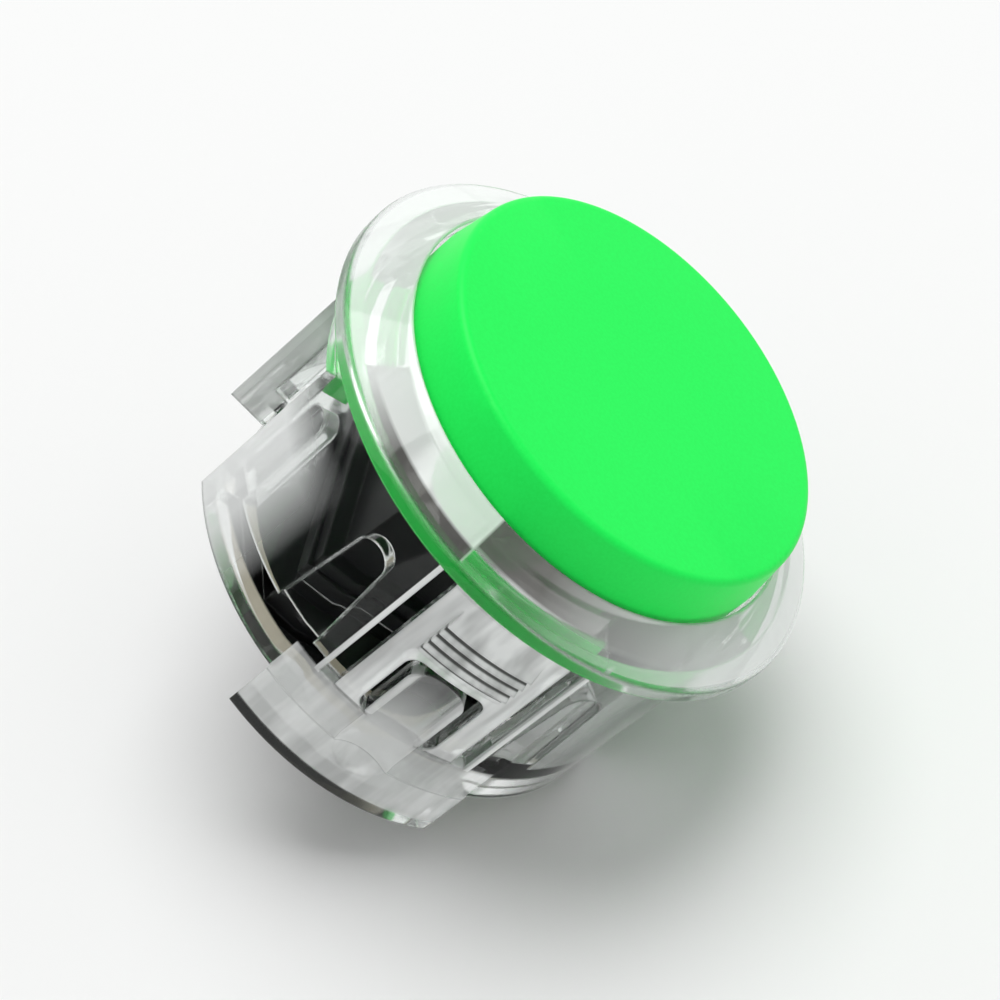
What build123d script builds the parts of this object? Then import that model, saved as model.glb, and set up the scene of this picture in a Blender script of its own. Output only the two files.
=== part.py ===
from build123d import *
import os
from math import degrees

# Snap-in arcade push button for a round panel hole, with a mechanical key-switch inside.
# Millimetres, +Z along the press axis, z = 0 on the underside of the bezel, which is the panel's face.
# The snap arms lie on -Y and +Y, the channels for the plunger's hooks on -X and +X.

# Bezel and body tube
body_radius = 14.75
body_depth = 15.0
body_wall = 1.55
rim_wall = 2.0
rim_height = 2.5
bezel_overhang = 1.9
bezel_band_height = 0.95
bezel_top = 2.8
bezel_edge_round = 0.3
bezel_foot_chamfer = 0.15
bezel_mouth_chamfer = 0.15

# Snap arms and finger lips
arm_slot_half_angle = 20.5
arm_slot_top = -0.7
arm_slot_undercut = 0.3
arm_half_angle = 16.2
arm_inset = 0.05
arm_thickness = 1.3
arm_top = -1.1
arm_nose_setback = 0.5
ridge_half_angle = 11.0
ridge_height = 0.45
ridge_root_height = 0.05
ridge_top = -3.6
ridge_pitch = 0.72
ridge_count = 4
slit_width = 5.3
slit_gap = 0.75
slit_below_ridges = 0.5
slit_corner = 0.9
scoop_radius = 3.0
scoop_depth = 0.75
scoop_end = -16.6
lip_half_angle = 28.0
lip_step = 0.15
lip_length = 4.1
lip_edge = 0.35

# Side channels, inner ribs and the web under the switch's flange
channel_half_angle = 15.0
channel_top = -3.2
channel_depth = 2.55
channel_wall = 1.0
channel_cheek_angle = 3.0
arm_rib_angle = 33.0
arm_rib_width = 2.2
arm_rib_foot_width = 3.2
side_rib_angle = 69.0
side_rib_width = 1.7
side_rib_foot_width = 1.9
rib_depth = 1.0
rib_top = -4.7
web_thickness = 1.5

# Plunger
plunger_gap = 0.2
plunger_taper = 0.42
plunger_top = 5.95
plunger_edge_round = 0.45
plunger_dish = 0.12
plunger_dish_floor_radius = 6.0
plunger_wall = 1.5
plunger_ceiling = 1.6
skirt_bottom = -1.3
hook_bottom = -5.0
hook_reach = 1.2
hook_stop_gap = 0.1
hook_side_gap = 0.4
socket_radius = 2.7
socket_gap = 0.2
cross_gap = 0.04
press_travel = 3.0

# Key-switch
switch_width = 13.9
switch_hole_gap = 0.05
switch_depth = 2.5
switch_wall = 1.2
switch_floor = 1.2
flange_margin = 0.3
flange_thickness = 1.0
post_radius = 1.95
post_length = 2.6
side_post_radius = 0.8
side_post_spacing = 10.16
side_post_length = 2.0
cover_base_width = 15.0
cover_shoulder_width = 12.8
cover_top_width = 11.4
cover_band = 0.9
cover_top = -3.9
cover_wall = 1.0
clip_width = 2.2
clip_thickness = 0.7
clip_spacing = 8.0
clip_length = 2.6
clip_catch = 0.35
clip_gap = 0.1

# Stem, spring and contacts
stem_length_x = 7.0
stem_length_y = 5.8
stem_gap = 0.2
stem_top = -3.4
stem_ceiling = 1.0
stem_wall = 0.8
stem_bottom = -7.9
shoulder_length_x = 9.0
shoulder_gap = 0.1
cross_height = 3.6
cross_length = 4.0
cross_arm_x = 1.2
cross_arm_y = 1.1
pole_radius = 1.0
pole_gap = 0.3
pole_bottom = -12.2
bottoming_gap = 0.1
cam_width = 2.0
cam_depth = 0.8
leaf_gap = 0.1
leaf_thickness = 0.25
leaf_height = 1.8
contact_gap = 0.3
contact_bump = 0.35
contact_thickness = 0.3
contact_top = -9.8
pin_width = 0.9
leaf_pin_x, leaf_pin_y = -3.81, 2.54
fixed_pin_x = 2.54
spring_wire = 0.3
spring_radius = 1.75
spring_turns = 6

# Terminal board, blades and solder
board_gap = 0.3
board_thickness = 1.6
board_hole_gap = 0.1
blade_width = 2.8
blade_thickness = 0.8
blade_length = 6.4
blade_tip = 0.6
blade_hole_radius = 0.6
blade_hole_from_tip = 2.2
blade_x, blade_y = 3.4, 8.6
shoulder_width = 3.8
shoulder_height = 0.9
leg_width = 0.8
leg_spacing = 2.6
leg_stub = 0.5
solder_radius = 0.95
solder_height = 0.7
pin_stub = 1.0

# Levels and mating sizes that follow from the sizes above
bezel_radius = body_radius + bezel_overhang
body_bore_radius = body_radius - body_wall
rim_bore_radius = body_radius - rim_wall
arm_slot_floor_radius = body_bore_radius - arm_slot_undercut
arm_outer_radius = body_radius - arm_inset
arm_inner_radius = arm_outer_radius - arm_thickness
arm_nose_radius = arm_outer_radius - arm_nose_setback
ridge_radius = body_radius + ridge_height
ridge_root_radius = body_radius + ridge_root_height
lip_radius = body_radius + lip_step
lip_inner_radius = rim_bore_radius
channel_floor_radius = body_radius - channel_depth
rib_inner_radius = body_bore_radius - rib_depth
rim_bottom = -body_depth
rim_top = rim_bottom + rim_height
lip_bottom = rim_bottom - lip_length
ridge_bottom = ridge_top - ridge_count * ridge_pitch
web_top = rim_top
web_bottom = web_top - web_thickness
plunger_radius = body_bore_radius - plunger_gap
plunger_top_radius = plunger_radius - plunger_taper
switch_bottom = web_top - switch_depth
cavity_floor = switch_bottom + switch_floor
cavity_width = switch_width - 2 * switch_wall
flange_width = cover_base_width + 2 * flange_margin
flange_top = web_top + flange_thickness
cover_ceiling = cover_top - cover_wall
pole_bore_bottom = pole_bottom - press_travel - bottoming_gap
board_radius = channel_floor_radius - channel_wall - board_gap
board_top = switch_bottom
board_bottom = board_top - board_thickness
cross_top = stem_top + cross_height
cam_face = stem_length_y / 2 + cam_depth
leaf_back = cam_face + leaf_gap
leaf_front = leaf_back + leaf_thickness
contact_face = leaf_front + contact_bump + contact_gap
contact_back = contact_face + contact_thickness
fixed_pin_y = contact_face + contact_thickness / 2
pin_bottom = board_bottom - pin_stub
overlap = 0.1
through = 40.0


def turned(points, start=0.0, sweep=360.0):
    """Solid of an (r, z) outline turned about the press axis, from one angle over a sweep in degrees."""
    outline = Plane.XZ * Polygon(*points, align=None)
    return Rot(0, 0, start) * revolve(outline, axis=Axis.Z, revolution_arc=sweep)


def turned_with_round(points, corner, radius):
    """Full turn of an (r, z) outline that has one of its corners rounded."""
    outline = Polygon(*points, align=None)
    outline = fillet(outline.vertices().sort_by_distance(corner)[0], radius)
    return revolve(Plane.XZ * outline, axis=Axis.Z)


def sector(inner, outer, low, high, centre, half_angle):
    """Piece of a ring between two radii and two heights, centred on an angle."""
    outline = [(inner, low), (outer, low), (outer, high), (inner, high)]
    return turned(outline, centre - half_angle, 2 * half_angle)


def block(x0, x1, y0, y1, z0, z1):
    """Box between two corners."""
    middle = ((x0 + x1) / 2, (y0 + y1) / 2, (z0 + z1) / 2)
    return Pos(*middle) * Box(abs(x1 - x0), abs(y1 - y0), abs(z1 - z0))


def square(width, low, high):
    """Upright square prism on the press axis."""
    return block(-width / 2, width / 2, -width / 2, width / 2, low, high)


def rod(radius, low, high, x=0.0, y=0.0):
    """Upright cylinder between two heights."""
    return Pos(x, y, (low + high) / 2) * Cylinder(radius, high - low)


def cross(gap, low, high):
    """Cross of the stem, or of the socket that takes it when a gap is given."""
    along_x = block(
        -cross_length / 2 - gap, cross_length / 2 + gap,
        -cross_arm_x / 2 - gap, cross_arm_x / 2 + gap, low, high,
    )
    along_y = block(
        -cross_arm_y / 2 - gap, cross_arm_y / 2 + gap,
        -cross_length / 2 - gap, cross_length / 2 + gap, low, high,
    )
    return along_x + along_y


def bezel_and_tube():
    """Bezel with its sloping top, the tube below it and the thicker rim."""
    slope = (bezel_top - bezel_band_height) / (bezel_radius - body_bore_radius)
    outline = [
        (body_bore_radius, bezel_top - bezel_mouth_chamfer),
        (body_bore_radius + bezel_mouth_chamfer, bezel_top - slope * bezel_mouth_chamfer),
        (bezel_radius, bezel_band_height),
        (bezel_radius, bezel_foot_chamfer),
        (bezel_radius - bezel_foot_chamfer, 0),
        (body_radius, 0),
        (body_radius, rim_bottom),
        (rim_bore_radius, rim_bottom),
        (rim_bore_radius, rim_top),
        (body_bore_radius, rim_top),
    ]
    return turned_with_round(outline, (bezel_radius, bezel_band_height), bezel_edge_round)


def snap_arm(centre):
    """Flexing arm with its ramp and ridges, rooted in the rim."""
    strip = [
        (arm_inner_radius, rim_top - overlap),
        (arm_outer_radius, rim_top - overlap),
        (arm_outer_radius, arm_top - (arm_outer_radius - arm_nose_radius)),
        (arm_nose_radius, arm_top),
        (arm_inner_radius, arm_top),
    ]
    head = [(arm_inner_radius, arm_top), (arm_nose_radius, arm_top)]
    for i in range(ridge_count):
        step = ridge_top - i * ridge_pitch
        head += [(ridge_radius, step), (ridge_root_radius, step - ridge_pitch / 3)]
    head += [(ridge_root_radius, ridge_bottom), (arm_inner_radius, ridge_bottom)]
    arm = turned(strip, centre - arm_half_angle, 2 * arm_half_angle)
    return arm + turned(head, centre - ridge_half_angle, 2 * ridge_half_angle)


def arm_slit(side):
    """U-shaped slit that leaves a tongue in the arm, cut straight along Y."""
    slit_top = ridge_bottom - slit_below_ridges
    tongue_width = slit_width - 2 * slit_gap
    outer_height = slit_top - rim_top
    tongue_height = outer_height - slit_gap + slit_corner
    front = Plane.XZ.offset(-side * body_radius)
    outer = Pos(0, slit_top - outer_height / 2) * RectangleRounded(slit_width, outer_height, slit_corner)
    tongue_middle = slit_top - slit_gap - tongue_height / 2
    tongue = Pos(0, tongue_middle) * RectangleRounded(tongue_width, tongue_height, slit_corner)
    return extrude(front * (outer - tongue), ridge_radius - arm_slot_floor_radius, both=True)


def finger_scoop(side):
    """Shallow hollow down the tongue and the lip, with a round end."""
    centre_y = side * (lip_radius + scoop_radius - scoop_depth)
    end_rise = (scoop_radius**2 - (scoop_radius - scoop_depth) ** 2) ** 0.5
    end_z = scoop_end + end_rise
    top = ridge_bottom - slit_below_ridges
    return rod(scoop_radius, end_z, top, 0, centre_y) + Pos(0, centre_y, end_z) * Sphere(scoop_radius)


def finger_lip(centre):
    """Lip that carries the arm's foot on below the rim."""
    outline = [
        (lip_inner_radius, lip_bottom),
        (lip_radius - lip_edge, lip_bottom),
        (lip_radius, lip_bottom + lip_edge),
        (lip_radius, rim_bottom),
        (body_radius, rim_bottom + lip_edge),
        (lip_inner_radius, rim_bottom + lip_edge),
    ]
    return turned(outline, centre - lip_half_angle, 2 * lip_half_angle)


def inner_rib(angle, width, foot_width):
    """Upright tapered rib with a round top on the inside of the tube, standing on the web."""
    depth = body_bore_radius - rib_inner_radius + overlap
    half_width, half_foot = width / 2, foot_width / 2
    crown_z = rib_top - half_width
    foot_z = web_top - overlap
    outline = Polygon(
        (-half_foot, foot_z), (half_foot, foot_z), (half_width, crown_z), (-half_width, crown_z), align=None
    )
    outline += Pos(0, crown_z) * Circle(half_width)
    return Rot(0, 0, angle) * Pos(rib_inner_radius, 0, 0) * extrude(Plane.YZ * outline, depth)


def channel_lining(centre):
    """Wall behind a hook channel below the web, with a cheek on each side that ties it to the rim."""
    inner = channel_floor_radius - channel_wall
    lining = sector(
        inner, channel_floor_radius, rim_bottom, web_top, centre, channel_half_angle + channel_cheek_angle
    )
    for side in (-1, 1):
        middle = centre + side * (channel_half_angle + channel_cheek_angle / 2)
        outer = body_bore_radius + overlap
        lining += sector(inner, outer, rim_bottom, web_top, middle, channel_cheek_angle / 2)
    return lining


def make_housing():
    """The clear moulding."""
    housing = bezel_and_tube()
    hole = switch_width + 2 * switch_hole_gap
    web = rod(body_bore_radius + overlap, web_bottom, web_top) - square(hole, web_bottom, web_top)
    housing += web
    for quarter in (-90, 90):
        for side in (-1, 1):
            housing += inner_rib(quarter + side * arm_rib_angle, arm_rib_width, arm_rib_foot_width)
            housing += inner_rib(quarter + side * side_rib_angle, side_rib_width, side_rib_foot_width)
    for side in (-1, 1):
        centre = 90 * side
        housing -= sector(
            arm_slot_floor_radius, through, rim_top, arm_slot_top, centre, arm_slot_half_angle
        )
        housing += snap_arm(centre)
        housing += finger_lip(centre)
        housing -= arm_slit(side)
        housing -= finger_scoop(side)
    for centre in (0, 180):
        housing -= sector(
            channel_floor_radius, through, rim_bottom - overlap, channel_top, centre, channel_half_angle
        )
        housing += channel_lining(centre)
    return housing


def make_plunger():
    """The green cup with its hooks and the socket for the stem's cross."""
    inner_radius = plunger_radius - plunger_wall
    ceiling = plunger_top - plunger_ceiling
    outline = [
        (0, ceiling),
        (inner_radius - plunger_edge_round, ceiling),
        (inner_radius, ceiling - plunger_edge_round),
        (inner_radius, skirt_bottom),
        (plunger_radius, skirt_bottom),
        (plunger_radius, bezel_top),
        (plunger_top_radius, plunger_top),
        (plunger_dish_floor_radius, plunger_top - plunger_dish),
        (0, plunger_top - plunger_dish),
    ]
    cup = turned_with_round(outline, (plunger_top_radius, plunger_top), plunger_edge_round)
    hook_top = channel_top - hook_stop_gap
    hook = [
        (inner_radius, skirt_bottom + overlap),
        (inner_radius, hook_bottom),
        (plunger_radius, hook_bottom),
        (plunger_radius + hook_reach, hook_top - hook_reach / 2),
        (plunger_radius + hook_reach, hook_top),
        (plunger_radius, hook_top),
        (plunger_radius, skirt_bottom + overlap),
    ]
    side_angle = degrees(hook_side_gap / body_bore_radius)
    half_angle = channel_half_angle - side_angle
    for centre in (0, 180):
        cup += turned(hook, centre - half_angle, 2 * half_angle)
    socket_bottom = stem_top + socket_gap
    cup += rod(socket_radius, socket_bottom, ceiling + overlap)
    return cup - cross(cross_gap, socket_bottom - overlap, cross_top + socket_gap)


def clip_places():
    """Middle of each of the cover's four clips, with the side of the switch it is on."""
    return [(side, y) for side in (-1, 1) for y in (-clip_spacing / 2, clip_spacing / 2)]


def make_lower_housing():
    """Base of the key-switch: flange, contact bay, spring seat, locating posts and clip recesses."""
    base = square(switch_width, switch_bottom, web_top) + square(flange_width, web_top, flange_top)
    base -= square(cavity_width, cavity_floor, flange_top)
    base += rod(post_radius, switch_bottom - post_length, cavity_floor)
    base -= rod(pole_radius + pole_gap, pole_bore_bottom, cavity_floor)
    for side in (-1, 1):
        x = side * side_post_spacing / 2
        base += rod(side_post_radius, switch_bottom - side_post_length, cavity_floor, x)
    recess_top = switch_width / 2
    recess_floor = recess_top - clip_thickness - clip_gap
    clip_bottom = flange_top - clip_length
    half = clip_width / 2 + clip_gap
    for side, y in clip_places():
        base -= block(
            side * recess_floor, side * recess_top, y - half, y + half, clip_bottom - clip_gap, flange_top
        )
        catch_top = clip_bottom + clip_catch + clip_gap
        base += block(
            side * recess_floor, side * (recess_floor + clip_catch), y - half, y + half,
            catch_top + clip_gap, catch_top + clip_gap + clip_catch,
        )
    for x, y in ((leaf_pin_x, leaf_pin_y), (fixed_pin_x, fixed_pin_y)):
        base -= pin(x, y, switch_bottom, cavity_floor)
    return base


def pin(x, y, low, high):
    """Flat solder pin of a contact, or the close hole for it."""
    half_x = pin_width / 2
    half_y = contact_thickness / 2
    return block(x - half_x, x + half_x, y - half_y, y + half_y, low, high)


def make_upper_housing():
    """Cover of the key-switch: a band, the tapered top with the stem's opening, and four clips."""
    band_top = flange_top + cover_band
    lower = Plane.XY.offset(band_top) * Rectangle(cover_shoulder_width, cover_shoulder_width)
    upper = Plane.XY.offset(cover_top) * Rectangle(cover_top_width, cover_top_width)
    inner_base = min(cover_base_width - 2 * cover_wall, cavity_width + 2 * clip_gap)
    inner_shoulder = cover_shoulder_width - 2 * cover_wall
    inner_top = cover_top_width - 2 * cover_wall
    inner_lower = Plane.XY.offset(band_top) * Rectangle(inner_shoulder, inner_shoulder)
    inner_upper = Plane.XY.offset(cover_ceiling) * Rectangle(inner_top, inner_top)
    cover = square(cover_base_width, flange_top, band_top) + loft([lower.face(), upper.face()])
    cover -= square(inner_base, flange_top, band_top) + loft([inner_lower.face(), inner_upper.face()])
    half_x = stem_length_x / 2 + stem_gap
    half_y = stem_length_y / 2 + stem_gap
    cover -= block(-half_x, half_x, -half_y, half_y, cover_ceiling - overlap, cover_top + overlap)
    outer = switch_width / 2
    inner = outer - clip_thickness
    clip_bottom = flange_top - clip_length
    for side, y in clip_places():
        y0, y1 = y - clip_width / 2, y + clip_width / 2
        catch_top = clip_bottom + clip_catch
        leg_inner = side * (inner + clip_catch + clip_gap)
        cover += block(leg_inner, side * outer, y0, y1, clip_bottom, flange_top + overlap)
        cover += block(side * inner, side * outer, y0, y1, clip_bottom, catch_top)
    return cover


def make_stem():
    """Slider with the cross on top, a shoulder inside the cover, a pole and the cam leg for the leaf."""
    half_x, half_y = stem_length_x / 2, stem_length_y / 2
    shoulder_top = cover_ceiling - shoulder_gap
    slider = block(-half_x, half_x, -half_y, half_y, stem_bottom, stem_top)
    half_shoulder = shoulder_length_x / 2
    slider += block(-half_shoulder, half_shoulder, -half_y, half_y, stem_bottom, shoulder_top)
    inside_x, inside_y = half_x - stem_wall, half_y - stem_wall
    slider -= block(-inside_x, inside_x, -inside_y, inside_y, stem_bottom, stem_top - stem_ceiling)
    slider += rod(pole_radius, pole_bottom, stem_top - stem_ceiling)
    slider += cross(0, stem_top - overlap, cross_top)
    cam_side = Plane.YZ * Polygon(
        (half_y - overlap, shoulder_top),
        (half_y, shoulder_top),
        (cam_face, shoulder_top - cam_depth),
        (cam_face, stem_bottom - cam_depth),
        (half_y, stem_bottom - 2 * cam_depth),
        (half_y - overlap, stem_bottom - 2 * cam_depth),
        align=None,
    )
    return slider + extrude(cam_side, cam_width / 2, both=True)


def make_spring():
    """Coil spring around the pole, from the base's floor to the stem."""
    length = stem_top - stem_ceiling - cavity_floor
    lift = length - spring_wire
    coil = Helix(pitch=lift / spring_turns, height=lift, radius=spring_radius)
    start = Plane(coil @ 0, z_dir=coil % 0)
    wire = sweep(start * RegularPolygon(spring_wire / 2, 6), path=coil, is_frenet=True)
    return Pos(0, 0, cavity_floor + spring_wire / 2) * wire


def make_leaf():
    """Spring contact: pin, foot on the floor, upright and the arm with its bump."""
    half = pin_width / 2
    foot_top = cavity_floor + contact_thickness
    pin_front = leaf_pin_y - contact_thickness / 2
    left = leaf_pin_x - half
    right = leaf_pin_x + half
    arm_top_z = contact_top - contact_thickness
    leaf = pin(leaf_pin_x, leaf_pin_y, pin_bottom, foot_top)
    leaf += block(left, right, pin_front, leaf_front, cavity_floor, foot_top)
    leaf += block(left, right, leaf_back, leaf_front, cavity_floor, arm_top_z)
    leaf += block(left, fixed_pin_x, leaf_back, leaf_front, arm_top_z - leaf_height, arm_top_z)
    bump_z = arm_top_z - leaf_height / 2
    bump = Pos(fixed_pin_x - pin_width, leaf_front, bump_z) * Rot(90, 0, 0) * Cylinder(
        leaf_height / 4, 2 * contact_bump
    )
    return leaf + bump


def make_fixed_contact():
    """Fixed contact: upright plate on its pin."""
    half = pin_width
    plate = block(
        fixed_pin_x - 2 * half, fixed_pin_x + half, contact_face, contact_back, cavity_floor, contact_top
    )
    return plate + pin(fixed_pin_x, fixed_pin_y, pin_bottom, cavity_floor)


def blade_legs(side):
    """Centres of the two solder legs of one blade."""
    return [(side * blade_x + k * leg_spacing / 2, blade_y) for k in (-1, 1)]


def leg(x, y, low, high):
    """Solder leg of a blade, or the close hole for it."""
    half_x = leg_width / 2
    half_y = blade_thickness / 2
    return block(x - half_x, x + half_x, y - half_y, y + half_y, low, high)


def make_board():
    """Round board with holes for the switch's posts and pins and for the blades' legs."""
    low, high = board_bottom, board_top
    board = rod(board_radius, low, high)
    board -= rod(post_radius + board_hole_gap, low, high)
    for side in (-1, 1):
        board -= rod(side_post_radius + board_hole_gap, low, high, side * side_post_spacing / 2)
        for x, y in blade_legs(side):
            board -= leg(x, y, low, high)
    for x, y in ((leaf_pin_x, leaf_pin_y), (fixed_pin_x, fixed_pin_y)):
        board -= pin(x, y, low, high)
    return board


def make_blade(side):
    """Quick-connect blade with a pointed tip, a detent hole, a shoulder and two solder legs."""
    x = side * blade_x
    half = blade_width / 2
    shoulder_low = board_bottom - shoulder_height
    tip = board_bottom - blade_length
    flat = Polygon(
        (x - half, shoulder_low + overlap),
        (x - half, tip + blade_tip),
        (x - half + blade_tip, tip),
        (x + half - blade_tip, tip),
        (x + half, tip + blade_tip),
        (x + half, shoulder_low + overlap),
        align=None,
    )
    flat -= Pos(x, tip + blade_hole_from_tip) * Circle(blade_hole_radius)
    blade = extrude(Plane.XZ.offset(-blade_y) * flat, blade_thickness / 2, both=True)
    y0, y1 = blade_y - blade_thickness / 2, blade_y + blade_thickness / 2
    half_shoulder = shoulder_width / 2
    blade += block(x - half_shoulder, x + half_shoulder, y0, y1, shoulder_low, board_bottom)
    for leg_x, leg_y in blade_legs(side):
        blade += leg(leg_x, leg_y, board_bottom - overlap, board_top + leg_stub)
    return blade


def solder_cone(x, y, base_z, upward):
    """Small solder cone on the board, pointing up or down."""
    turn = 0 if upward else 180
    tip_radius = solder_radius / 2
    middle = base_z + (solder_height if upward else -solder_height) / 2
    return Pos(x, y, middle) * Rot(turn, 0, 0) * Cone(solder_radius, tip_radius, solder_height)


def make_solder():
    """Solder on the switch's pins below the board and on the blades' legs above it."""
    joints = []
    for x, y in ((leaf_pin_x, leaf_pin_y), (fixed_pin_x, fixed_pin_y)):
        joints.append(solder_cone(x, y, board_bottom, False) - pin(x, y, pin_bottom, board_bottom))
    for side in (-1, 1):
        for x, y in blade_legs(side):
            joints.append(solder_cone(x, y, board_top, True) - leg(x, y, board_top, board_top + leg_stub))
    return Compound(children=[j.solid() for j in joints])


nodes = {
    "clear_housing": make_housing(),
    "plunger_cap": make_plunger(),
    "switch_lower_housing": make_lower_housing(),
    "switch_upper_housing": make_upper_housing(),
    "switch_stem": make_stem(),
    "return_spring": make_spring(),
    "contact_leaf": make_leaf(),
    "fixed_contact": make_fixed_contact(),
    "terminal_board": make_board(),
    "tab_terminal_1": make_blade(-1),
    "tab_terminal_2": make_blade(1),
    "solder_joints": make_solder(),
}

os.makedirs("parts", exist_ok=True)
for name, shape in nodes.items():
    export_step(shape, f"parts/{name}.step")
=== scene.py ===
from math import cos, radians, sin

import bmesh
import bpy
from mathutils import Matrix, Vector


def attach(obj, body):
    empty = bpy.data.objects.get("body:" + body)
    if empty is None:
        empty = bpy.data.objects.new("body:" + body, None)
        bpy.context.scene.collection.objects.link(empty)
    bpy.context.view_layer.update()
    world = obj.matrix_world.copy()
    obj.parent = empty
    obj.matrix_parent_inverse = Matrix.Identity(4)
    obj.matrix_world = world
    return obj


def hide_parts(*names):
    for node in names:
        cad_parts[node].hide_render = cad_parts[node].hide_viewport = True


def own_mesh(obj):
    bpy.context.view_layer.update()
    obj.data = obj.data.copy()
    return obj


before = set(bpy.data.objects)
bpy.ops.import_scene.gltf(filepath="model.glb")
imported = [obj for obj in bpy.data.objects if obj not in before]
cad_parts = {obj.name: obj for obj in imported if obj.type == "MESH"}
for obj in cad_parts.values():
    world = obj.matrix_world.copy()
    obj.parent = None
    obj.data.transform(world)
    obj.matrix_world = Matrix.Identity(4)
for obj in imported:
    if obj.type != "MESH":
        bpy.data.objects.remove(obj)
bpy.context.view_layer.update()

# Clear housing: bezel, tube, snap arms and finger lips, injection moulded in one shot from
# clear polycarbonate. It drops through the panel hole and its ridged arms catch behind.
# The moulding keeps its CAD form, with smooth walls and a faint flow ripple.
MM = 0.001
merge_distance, flat_angle = 0.0005 * MM, radians(0.4)
noise_low, noise_high = 0.35, 0.65
clear_tint, clear_index = (0.93, 0.95, 0.94), 1.38


def moulded_copy(node, name, body, crease_degrees=28):
    """Merged copy of a CAD node that shades smooth between its real creases and stands for the node."""
    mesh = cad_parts[node].data.copy()
    mesh.name = name
    mesh.materials.clear()
    if "custom_normal" in mesh.attributes:
        mesh.attributes.remove(mesh.attributes["custom_normal"])
    shape = bmesh.new()
    shape.from_mesh(mesh)
    bmesh.ops.remove_doubles(shape, verts=shape.verts, dist=merge_distance)
    bmesh.ops.dissolve_limit(
        shape, angle_limit=flat_angle, use_dissolve_boundaries=False, verts=shape.verts, edges=shape.edges
    )
    for face in shape.faces:
        face.smooth = True
    shape.to_mesh(mesh)
    shape.free()
    mesh.set_sharp_from_angle(angle=radians(crease_degrees))
    piece = bpy.data.objects.new(name, mesh)
    bpy.context.scene.collection.objects.link(piece)
    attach(piece, body)
    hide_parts(node)
    return piece


def surface(name, colour, roughness):
    """New material with a Principled shader; returns the material, its node tree and the shader."""
    material = bpy.data.materials.new(name)
    material.use_nodes = True
    tree = material.node_tree
    shader = tree.nodes["Principled BSDF"]
    shader.inputs["Base Color"].default_value = (*colour, 1)
    shader.inputs["Roughness"].default_value = roughness
    return material, tree, shader


def noise(tree, scale, detail, stretch=(1, 1, 1)):
    """Noise on the piece's own coordinates, with its scale in waves per metre."""
    place = tree.nodes.new("ShaderNodeTexCoord")
    mapping = tree.nodes.new("ShaderNodeMapping")
    mapping.inputs["Scale"].default_value = stretch
    pattern = tree.nodes.new("ShaderNodeTexNoise")
    pattern.inputs["Scale"].default_value = scale
    pattern.inputs["Detail"].default_value = detail
    tree.links.new(place.outputs["Object"], mapping.inputs["Vector"])
    tree.links.new(mapping.outputs["Vector"], pattern.inputs["Vector"])
    return pattern.outputs["Fac"]


def ripple(tree, shader, pattern, depth, strength):
    """Bump from a pattern, with its depth in metres."""
    bump = tree.nodes.new("ShaderNodeBump")
    bump.inputs["Distance"].default_value = depth
    bump.inputs["Strength"].default_value = strength
    tree.links.new(pattern, bump.inputs["Height"])
    tree.links.new(bump.outputs["Normal"], shader.inputs["Normal"])


def round_edges(tree, shader, radius):
    """Shades the creases as small rounds, as a mould leaves them, over the bump that is already there."""
    rounding = tree.nodes.new("ShaderNodeBevel")
    rounding.samples = 4
    rounding.inputs["Radius"].default_value = radius
    tree.links.new(shader.inputs["Normal"].links[0].from_socket, rounding.inputs["Normal"])
    tree.links.new(rounding.outputs["Normal"], shader.inputs["Normal"])


def ramp_between(tree, value, start, end, low, high):
    """Ramp from one level to another between two places along a value, flat on both sides."""
    ramp = tree.nodes.new("ShaderNodeMapRange")
    ramp.inputs["From Min"].default_value = start
    ramp.inputs["From Max"].default_value = end
    ramp.inputs["To Min"].default_value = low
    ramp.inputs["To Max"].default_value = high
    tree.links.new(value, ramp.inputs["Value"])
    return ramp.outputs["Result"]


def spread(tree, pattern, socket, low, high):
    """Sends a pattern to a number socket between two values."""
    tree.links.new(ramp_between(tree, pattern, 0, 1, low, high), socket)


def shades(tree, value, socket, first, second, start=noise_low, end=noise_high):
    """Sends a value to a colour socket, with one colour up to its start and another from its end."""
    ramp = tree.nodes.new("ShaderNodeValToRGB")
    stops = ramp.color_ramp.elements
    stops[0].position = start
    stops[0].color = (*first, 1)
    stops[1].position = end
    stops[1].color = (*second, 1)
    tree.links.new(value, ramp.inputs["Fac"])
    tree.links.new(ramp.outputs["Color"], socket)


def clear_plastic(name):
    """Clear moulded plastic; returns the material, its node tree and the shader."""
    material, tree, shader = surface(name, clear_tint, roughness=0.03)
    shader.inputs["Transmission Weight"].default_value = 1.0
    shader.inputs["IOR"].default_value = clear_index
    flow = noise(tree, scale=260, detail=2)
    ripple(tree, shader, flow, depth=0.02 * MM, strength=0.25)
    spread(tree, flow, shader.inputs["Roughness"], low=0.015, high=0.05)
    round_edges(tree, shader, radius=0.25 * MM)
    return material, tree, shader


def maths(tree, operation, *values):
    """Math node on sockets and plain numbers."""
    node = tree.nodes.new("ShaderNodeMath")
    node.operation = operation
    for socket, value in zip(node.inputs, values):
        if isinstance(value, (int, float)):
            socket.default_value = value
        else:
            tree.links.new(value, socket)
    return node.outputs["Value"]


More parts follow.
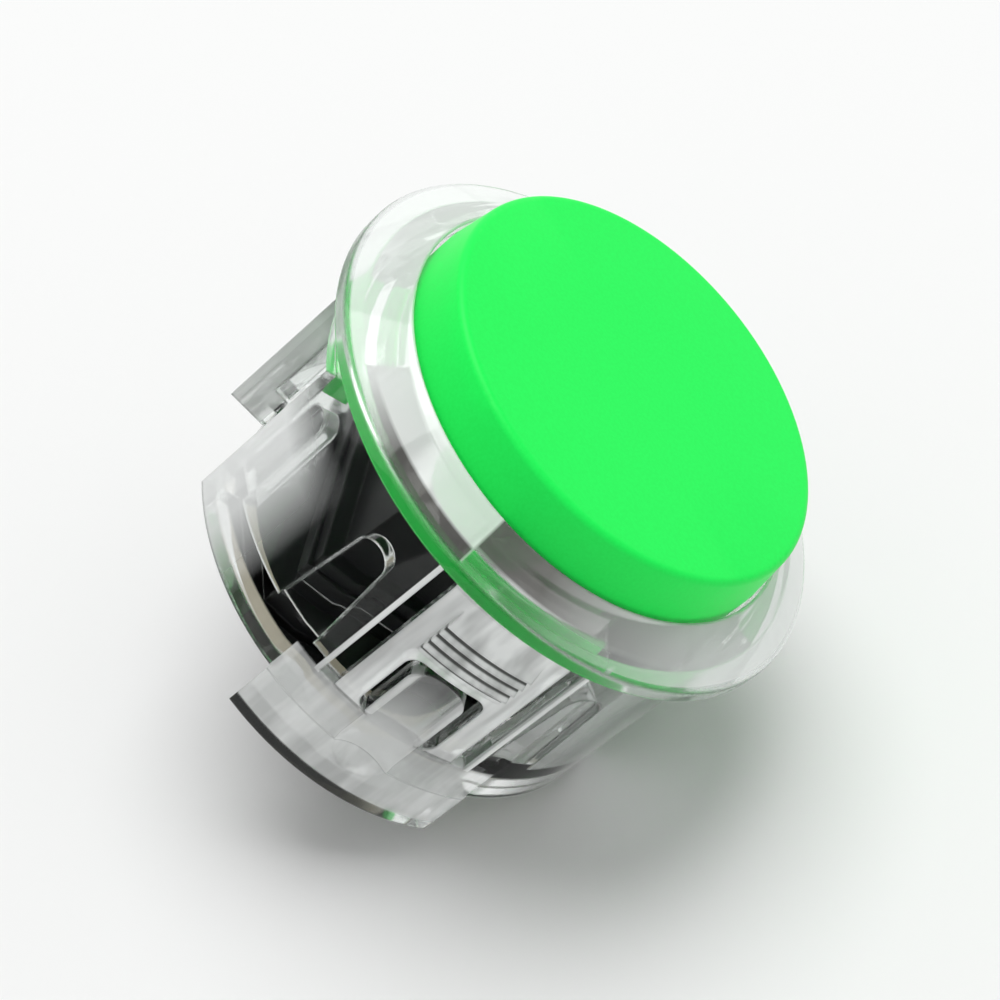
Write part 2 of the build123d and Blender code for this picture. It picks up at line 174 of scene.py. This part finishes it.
def place_on_button(tree):
    """Place from the nearest arm's middle: way across it, angle from it, signed angle from it, distance
    from the press axis, and height."""
    place = tree.nodes.new("ShaderNodeTexCoord")
    part = tree.nodes.new("ShaderNodeSeparateXYZ")
    tree.links.new(place.outputs["Object"], part.inputs["Vector"])
    x, y, z = part.outputs["X"], part.outputs["Y"], part.outputs["Z"]
    across = maths(tree, "ABSOLUTE", x)
    along = maths(tree, "ABSOLUTE", y)
    facing = maths(tree, "SIGN", maths(tree, "MULTIPLY", y, -1))
    to_right = maths(tree, "MULTIPLY", x, facing)
    square = maths(tree, "MULTIPLY_ADD", y, y, maths(tree, "MULTIPLY", x, x))
    return {
        "across": across,
        "turn": maths(tree, "ARCTAN2", across, along),
        "signed_turn": maths(tree, "ARCTAN2", to_right, along),
        "radius": maths(tree, "SQRT", square),
        "height": z,
    }


def beyond(tree, value, edge, blur):
    """0 up to an edge along a value and 1 past it, with a soft step as wide as the blur."""
    return ramp_between(tree, value, edge - blur / 2, edge + blur / 2, 0, 1)


def within(tree, value, edge, blur):
    """1 up to an edge along a value and 0 past it, with a soft step as wide as the blur."""
    return ramp_between(tree, value, edge - blur / 2, edge + blur / 2, 1, 0)


def all_of(tree, first, *others):
    """Product of several masks or levels."""
    for mask in others:
        first = maths(tree, "MULTIPLY", first, mask)
    return first


def any_of(tree, first, *others):
    """Largest of several masks."""
    for mask in others:
        first = maths(tree, "MAXIMUM", first, mask)
    return first


def outside(tree, mask):
    """The rest of the surface, which a mask leaves out."""
    return maths(tree, "SUBTRACT", 1, mask)


def band(tree, value, low, high, blur):
    """1 between two places along a value and 0 outside them, with soft ends."""
    return all_of(tree, beyond(tree, value, low, blur), within(tree, value, high, blur))


# Tube, arms and lips are clear, with a pale satin etch on the outer faces of the arms, tongues and
# lips, a pale band along the slots' edges that is a painted highlight, and a light haze in and beside
# the side channels. Grooves, slits and most of each lip's foot are polished and carry painted shade:
# their clear tint turns to a deep grey there.
arm_half_angle, arm_low, arm_high = radians(16.3), -12.4 * MM, -1.0 * MM
arm_face, arm_nose = 14.55 * MM, -1.75 * MM
slit_half_width, slit_top = 2.7 * MM, -6.93 * MM
tongue_half_width, tongue_top, tongue_face = 1.85 * MM, -7.78 * MM, 13.9 * MM
tongue_fade_top, tongue_fade_end, tongue_rim = -8.5 * MM, -13.0 * MM, 1.35 * MM
tongue_clear, tongue_rim_pale, tongue_pale = 0.15, 0.5, 0.65
rim_face = 14.0 * MM
lip_half_angle, lip_foot, lip_low, lip_high = radians(28.3), -19.3 * MM, -18.0 * MM, -15.2 * MM
foot_fade_start, foot_fade_end = radians(8), radians(18)
edge_near, edge_far, edge_low, edge_high = radians(20.3), radians(21.8), -12.7 * MM, -0.2 * MM
ridge_half_angle, ridge_top, ridge_pitch, ridge_count = radians(11.0), -3.6 * MM, 0.72 * MM, 4
groove_start, groove_end = 0.2, 0.62
ridge_side_blur, ridge_end_blur, groove_blur = radians(0.3), 0.05, 0.1
haze_start, haze_end, haze_face = radians(45), radians(61), 14.2 * MM
haze_low, haze_fade, haze_high = -15.0 * MM, -7.0 * MM, -3.6 * MM
channel_start, channel_full, channel_face = radians(72), radians(76), 12.4 * MM
arm_etch, lip_etch, rim_etch, haze, channel_haze = 0.95, 0.75, 0.6, 0.75, 0.85
streak_stretch, streak_low, streak_high = (1, 1, 0.12), 0.6, 1.0
# Deep grey tint painted as shade into the grooves, slits and lip feet.
painted_shade_tint = (0.1, 0.105, 0.1)
sharp, face_blur, soft, wide_blur, turn_blur = 0.05 * MM, 0.1 * MM, 0.2 * MM, 0.4 * MM, radians(0.2)
clear, tree, shader = clear_plastic("clear_polycarbonate")
place = place_on_button(tree)
across, turn, radius, height = place["across"], place["turn"], place["radius"], place["height"]
outer_face = beyond(tree, radius, arm_face, face_blur)
nose = beyond(tree, height, arm_nose, face_blur)
on_arm = all_of(
    tree,
    within(tree, turn, arm_half_angle, turn_blur),
    band(tree, height, arm_low, arm_high, soft),
    any_of(tree, outer_face, nose),
)
in_tongue = all_of(
    tree,
    within(tree, across, tongue_half_width, sharp),
    band(tree, height, lip_high, tongue_top, sharp),
)
# Painted highlight: the tongue is nearly clear at its top and pales toward its foot, with a paler band along
# both its edges.
tongue_painted_highlight_fade = ramp_between(tree, height, tongue_fade_top, tongue_fade_end, tongue_clear, tongue_pale)
tongue_painted_highlight_edge = ramp_between(tree, across, tongue_rim - soft, tongue_rim + soft, tongue_clear, tongue_rim_pale)
on_tongue = all_of(
    tree, in_tongue,
    ramp_between(tree, radius, tongue_face - sharp, tongue_face, 0, 1),
    any_of(tree, tongue_painted_highlight_fade, tongue_painted_highlight_edge),
)
# Painted shade on the slit walls beside each tongue.
slit_painted_shade = all_of(
    tree,
    within(tree, across, slit_half_width, sharp),
    band(tree, height, arm_low, slit_top, sharp),
    outside(tree, in_tongue),
    outside(tree, outer_face),
)
by_lip = within(tree, turn, lip_half_angle, turn_blur)
on_lip = all_of(tree, by_lip, band(tree, height, lip_low, lip_high, soft))
on_rim = all_of(
    tree, by_lip,
    band(tree, height, lip_high, arm_low, soft),
    beyond(tree, radius, rim_face, face_blur),
    outside(tree, in_tongue),
)
# Painted shade on most of each lip's foot, fading out toward its right end.
foot_painted_shade = all_of(
    tree, by_lip,
    band(tree, height, lip_foot, lip_low, soft),
    ramp_between(tree, place["signed_turn"], foot_fade_start, foot_fade_end, 1, 0),
)
# Painted highlight: a pale etched band along each slot's edge stands in for the light line along it.
slot_edge_painted_highlight = all_of(
    tree,
    band(tree, turn, edge_near, edge_far, turn_blur),
    band(tree, height, edge_low, edge_high, soft),
    outer_face,
)
ridges_down = maths(tree, "MULTIPLY_ADD", height, -1 / ridge_pitch, ridge_top / ridge_pitch)
# Painted shade in the grooves between the ridges.
groove_painted_shade = all_of(
    tree,
    within(tree, turn, ridge_half_angle, ridge_side_blur),
    band(tree, ridges_down, 0, ridge_count, ridge_end_blur),
    band(tree, maths(tree, "FRACT", ridges_down), groove_start, groove_end, groove_blur),
)
on_wall = all_of(
    tree,
    ramp_between(tree, turn, haze_start, haze_end, 0, haze),
    beyond(tree, radius, haze_face, face_blur),
)
on_channel = all_of(
    tree,
    ramp_between(tree, turn, channel_start, channel_full, 0, channel_haze),
    beyond(tree, radius, channel_face, face_blur),
)
hazy = all_of(
    tree,
    any_of(tree, on_wall, on_channel),
    beyond(tree, height, haze_low, wide_blur),
    ramp_between(tree, height, haze_fade, haze_high, 1, 0),
)
streaks = noise(tree, scale=900, detail=2, stretch=streak_stretch)
etched = all_of(
    tree,
    any_of(
        tree,
        all_of(tree, any_of(tree, on_arm, slot_edge_painted_highlight), arm_etch),
        all_of(tree, on_lip, lip_etch),
        all_of(tree, on_rim, rim_etch),
    ),
    ramp_between(tree, streaks, noise_low, noise_high, streak_low, streak_high),
)
paleness = any_of(tree, etched, on_tongue, hazy)
tree.links.new(outside(tree, paleness), shader.inputs["Transmission Weight"])
# Painted shade: the grooves, slits and lip feet take the deep grey tint.
painted_shade = any_of(tree, groove_painted_shade, slit_painted_shade, foot_painted_shade)
shades(tree, painted_shade, shader.inputs["Base Color"], clear_tint, painted_shade_tint, start=0, end=1)

# Bezel face: pale, as painted light, where it stands over the tube's wall, which pipes light up to it,
# and clear at its outer edge and over the two arm slots. Painted shade tints the inner half over each
# slot deep grey for its shaded roof, and a streak beside each slot's left side for the black switch.
# Each slot shows sharply on its left side and fades out on its right.
wall_clearness, slot_clearness, roof_clearness = 0.38, 1.0, 0.3
roof_shade = (0.11, 0.106, 0.1)
slot_left, slot_right_start, slot_right_end = radians(-20.2), radians(-4), radians(42)
seam_blur = radians(0.8)
roof_end, edge_start = 15.35 * MM, 16.2 * MM
dark_start, dark_full, dark_inner, dark_outer = radians(-62), radians(-44), 15.5 * MM, 16.5 * MM
face_up, face_low = 0.5, 0.5 * MM
face_plastic, tree, shader = clear_plastic("bezel_face_polycarbonate")
place = place_on_button(tree)
turn, radius = place["signed_turn"], place["radius"]
in_slot = all_of(
    tree,
    beyond(tree, turn, slot_left, seam_blur),
    ramp_between(tree, turn, slot_right_start, slot_right_end, 1, 0),
)
# Painted shade over the inner half of each slot, standing for its shaded roof.
roof_painted_shade = all_of(tree, in_slot, within(tree, radius, roof_end, wide_blur))
over_slot = ramp_between(tree, in_slot, 0, 1, wall_clearness, slot_clearness)
outer_edge = ramp_between(tree, radius, edge_start, edge_start + soft, 0, 1)
plain_clear = any_of(tree, over_slot, outer_edge)
clearness = maths(tree, "MULTIPLY_ADD", roof_painted_shade, roof_clearness - slot_clearness, plain_clear)
tree.links.new(clearness, shader.inputs["Transmission Weight"])
# Painted shade: a deep grey streak beside each slot's left side, standing for the black switch.
beside_slot_painted_shade = all_of(
    tree,
    ramp_between(tree, turn, dark_start, dark_full, 0, 1),
    ramp_between(tree, turn, slot_left - seam_blur / 2, slot_left, 1, 0),
    band(tree, radius, dark_inner, dark_outer, soft),
)
painted_shade = any_of(tree, roof_painted_shade, beside_slot_painted_shade)
shades(tree, painted_shade, shader.inputs["Base Color"], clear_tint, roof_shade, start=0, end=1)

housing = moulded_copy("clear_housing", "clear_housing_moulding", "body")
housing.data.materials.append(clear)
housing.data.materials.append(face_plastic)
for face in housing.data.polygons:
    if face.normal.z > face_up and face.center.z > face_low:
        face.material_index = 1

# Key-switch shell: lower housing and tapered cover, two mouldings of glass-filled black nylon that
# four clips hold together. The switch snaps into the square hole of the clear web.
deep_black, light_black = (0.007, 0.007, 0.008), (0.012, 0.012, 0.013)
black, tree, shader = surface("black_nylon", (0.01, 0.01, 0.011), roughness=0.4)
shader.inputs["Specular IOR Level"].default_value = 0.3
grain = noise(tree, scale=9000, detail=3)
ripple(tree, shader, grain, depth=0.01 * MM, strength=0.3)
round_edges(tree, shader, radius=0.2 * MM)
spread(tree, grain, shader.inputs["Roughness"], low=0.34, high=0.5)
shades(tree, grain, shader.inputs["Base Color"], deep_black, light_black)
for node in ("switch_lower_housing", "switch_upper_housing"):
    shell = moulded_copy(node, node + "_shell", "body")
    shell.data.materials.append(black)


# Contacts: a spring leaf and a fixed plate punched from brass strip, each with a solder pin
# through the switch's floor. The return spring is wound from steel wire round the pole, stands
# on the switch's floor and shortens by the whole travel when the button is pressed.
def metal(name, colour, roughness):
    """Bare metal; returns the material, its node tree and the shader."""
    material, tree, shader = surface(name, colour, roughness)
    shader.inputs["Metallic"].default_value = 1.0
    return material, tree, shader


brass, tree, shader = metal("rolled_brass", (0.78, 0.6, 0.3), roughness=0.28)
rolled = noise(tree, scale=4000, detail=2)
spread(tree, rolled, shader.inputs["Roughness"], low=0.2, high=0.36)
for node in ("contact_leaf", "fixed_contact"):
    strip = moulded_copy(node, node + "_strip", "body")
    strip.data.materials.append(brass)
steel, tree, shader = metal("drawn_steel", (0.62, 0.62, 0.6), roughness=0.25)
drawn = noise(tree, scale=6000, detail=2)
spread(tree, drawn, shader.inputs["Roughness"], low=0.18, high=0.34)
spring = moulded_copy("return_spring", "return_spring_wire", "body", crease_degrees=70)
spring.data.materials.append(steel)
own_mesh(spring)

# Stem: black acetal slider, moulded in one piece with the cross that the plunger is pushed on, the
# pole inside the spring and the cam leg beside the contact leaf. It slides in the switch's cover.
acetal, tree, shader = surface("stem_acetal", (0.02, 0.02, 0.022), roughness=0.3)
fine = noise(tree, scale=7000, detail=2)
ripple(tree, shader, fine, depth=0.006 * MM, strength=0.3)
round_edges(tree, shader, radius=0.15 * MM)
spread(tree, fine, shader.inputs["Roughness"], low=0.26, high=0.4)
stem = moulded_copy("switch_stem", "switch_stem_slider", "plunger")
stem.data.materials.append(acetal)

# Terminal board and tabs: a round glass-epoxy board, dark with solder mask on both faces and bare
# at its cut edge, carries the switch's pins. Two tinned brass blades stand soldered in it.
deep_mask, light_mask = (0.016, 0.02, 0.018), (0.024, 0.03, 0.026)
board_face = 0.9
epoxy, tree, shader = surface("glass_epoxy", (0.6, 0.54, 0.42), roughness=0.35)
weave = noise(tree, scale=3000, detail=3)
ripple(tree, shader, weave, depth=0.012 * MM, strength=0.3)
spread(tree, weave, shader.inputs["Roughness"], low=0.3, high=0.45)
mask, tree, shader = surface("solder_mask", (0.02, 0.025, 0.022), roughness=0.3)
lacquer = noise(tree, scale=1500, detail=2)
ripple(tree, shader, lacquer, depth=0.01 * MM, strength=0.3)
shades(tree, lacquer, shader.inputs["Base Color"], deep_mask, light_mask)
board = moulded_copy("terminal_board", "terminal_board_disc", "body")
board.data.materials.append(epoxy)
board.data.materials.append(mask)
for face in board.data.polygons:
    if abs(face.normal.z) > board_face:
        face.material_index = 1
tinned, tree, shader = metal("tinned_brass", (0.72, 0.72, 0.7), roughness=0.3)
dull = noise(tree, scale=2500, detail=3)
ripple(tree, shader, dull, depth=0.01 * MM, strength=0.3)
spread(tree, dull, shader.inputs["Roughness"], low=0.22, high=0.42)
for node in ("tab_terminal_1", "tab_terminal_2", "solder_joints"):
    tab = moulded_copy(node, node + "_tinned", "body")
    tab.data.materials.append(tinned)

# Plunger: the bright green button, one moulding of opaque plastic with a satin top and a
# rounded edge. It slides in the tube, held by two hooks and pushed up by the switch.
deep_green, light_green = (0.008, 0.925, 0.096), (0.01, 0.95, 0.104)
green, tree, shader = surface("green_plastic", (0.009, 0.94, 0.1), roughness=0.4)
shader.inputs["Specular IOR Level"].default_value = 0.22
satin = noise(tree, scale=5000, detail=2)
ripple(tree, shader, satin, depth=0.006 * MM, strength=0.3)
round_edges(tree, shader, radius=0.2 * MM)
spread(tree, satin, shader.inputs["Roughness"], low=0.36, high=0.48)
shades(tree, satin, shader.inputs["Base Color"], deep_green, light_green)
plunger = moulded_copy("plunger_cap", "plunger_button", "plunger")
plunger.data.materials.append(green)

# Stage: the button leans on a white table, on the rim beside its +X channel and on the tip of
# one blade, so the table's top is the plane through these two. From behind it is transparent.
rim_rest = Vector((14.25, 0, -15.0)) * MM
blade_rest = Vector((4.2, 0, -23.0)) * MM
floor_along = (rim_rest - blade_rest).normalized()
floor_up = floor_along.cross(Vector((0, 1, 0)))
floor_size = 3.0
floor_turn = floor_up.to_track_quat("Z", "Y").to_matrix().to_4x4()
table = bmesh.new()
bmesh.ops.create_grid(table, x_segments=1, y_segments=1, size=floor_size / 2)
bmesh.ops.transform(table, matrix=Matrix.Translation(rim_rest) @ floor_turn, verts=table.verts)
floor_mesh = bpy.data.meshes.new("floor")
table.to_mesh(floor_mesh)
table.free()
floor = bpy.data.objects.new("floor", floor_mesh)
bpy.context.scene.collection.objects.link(floor)
white, tree, shader = surface("white_table", (0.88, 0.885, 0.88), roughness=0.9)
shader.inputs["Specular IOR Level"].default_value = 0.0
side = tree.nodes.new("ShaderNodeNewGeometry")
clear_back = tree.nodes.new("ShaderNodeBsdfTransparent")
pick = tree.nodes.new("ShaderNodeMixShader")
tree.links.new(side.outputs["Backfacing"], pick.inputs["Fac"])
tree.links.new(shader.outputs["BSDF"], pick.inputs[1])
tree.links.new(clear_back.outputs["BSDF"], pick.inputs[2])
tree.links.new(pick.outputs["Shader"], tree.nodes["Material Output"].inputs["Surface"])
floor_mesh.materials.append(white)

# Light: a white tent. The world gives even light and shows white to the camera, in
# reflections and through the plastic; one large soft lamp above the table gives the shadow.
tent_light, tent_seen = 0.52, 1.0
world = bpy.data.worlds.new("tent")
bpy.context.scene.world = world
world.use_nodes = True
tree = world.node_tree
tent = tree.nodes["Background"]
tent.inputs["Color"].default_value = (1, 1, 1, 1)
ray = tree.nodes.new("ShaderNodeLightPath")
seen = any_of(
    tree, ray.outputs["Is Camera Ray"], ray.outputs["Is Glossy Ray"], ray.outputs["Is Transmission Ray"]
)
tree.links.new(ramp_between(tree, seen, 0, 1, tent_light, tent_seen), tent.inputs["Strength"])
lamp_direction = Vector((-0.65, 0.22, 0.73)).normalized()
lamp_distance = 0.9
lamp = bpy.data.lights.new("softbox", "AREA")
lamp.shape = "DISK"
lamp.size = 0.8
lamp.energy = 5.7
softbox = bpy.data.objects.new("softbox", lamp)
softbox.location = lamp_direction * lamp_distance
softbox.rotation_euler = lamp_direction.to_track_quat("Z", "Y").to_euler()
bpy.context.scene.collection.objects.link(softbox)

# Black card: a low matt screen that stands on the table left of the button, out of the picture.
# The clear wall mirrors it, which keeps the black parts behind the wall deep.
card_direction = Vector((-0.58, -0.58, -0.557)).normalized()
card_distance = 85 * MM
card_width, card_low, card_high = 170 * MM, -22 * MM, 13 * MM
card_across = floor_up.cross(card_direction).normalized()
screen = bmesh.new()
corners = [
    card_direction * card_distance + card_across * end * card_width / 2 + floor_up * level
    for end, level in ((-1, card_low), (1, card_low), (1, card_high), (-1, card_high))
]
screen.faces.new([screen.verts.new(corner) for corner in corners])
card_mesh = bpy.data.meshes.new("black_card")
screen.to_mesh(card_mesh)
screen.free()
card = bpy.data.objects.new("black_card", card_mesh)
bpy.context.scene.collection.objects.link(card)
card.visible_camera = False
card.visible_diffuse = False
card.visible_shadow = False
matt, tree, shader = surface("black_card", (0.05, 0.05, 0.05), roughness=0.9)
shader.inputs["Specular IOR Level"].default_value = 0.0
card_mesh.materials.append(matt)

# Camera: a short telephoto that looks down on the table, turned so that the press axis points
# to the upper right of the picture.
camera_azimuth = radians(-24.5)
camera_elevation = radians(35.2)
camera_roll = radians(50.85)
camera_distance = 199.5 * MM
back = Vector((
    sin(camera_azimuth) * cos(camera_elevation),
    -cos(camera_azimuth) * cos(camera_elevation),
    sin(camera_elevation),
))
right = Vector((cos(camera_azimuth), sin(camera_azimuth), 0))
up = back.cross(right)
turned_right = cos(camera_roll) * right + sin(camera_roll) * up
turned_up = back.cross(turned_right)
lens = bpy.data.cameras.new("camera")
lens.sensor_width = 36
lens.lens = 128.2
lens.shift_x = -0.0726
lens.shift_y = -0.0600
lens.clip_start = 0.005
lens.clip_end = 10
camera = bpy.data.objects.new("camera", lens)
facing = Matrix((turned_right, turned_up, back)).transposed().to_4x4()
camera.matrix_world = Matrix.Translation(back * camera_distance) @ facing
bpy.context.scene.collection.objects.link(camera)
bpy.context.scene.camera = camera
bpy.context.scene.view_settings.view_transform = "Standard"
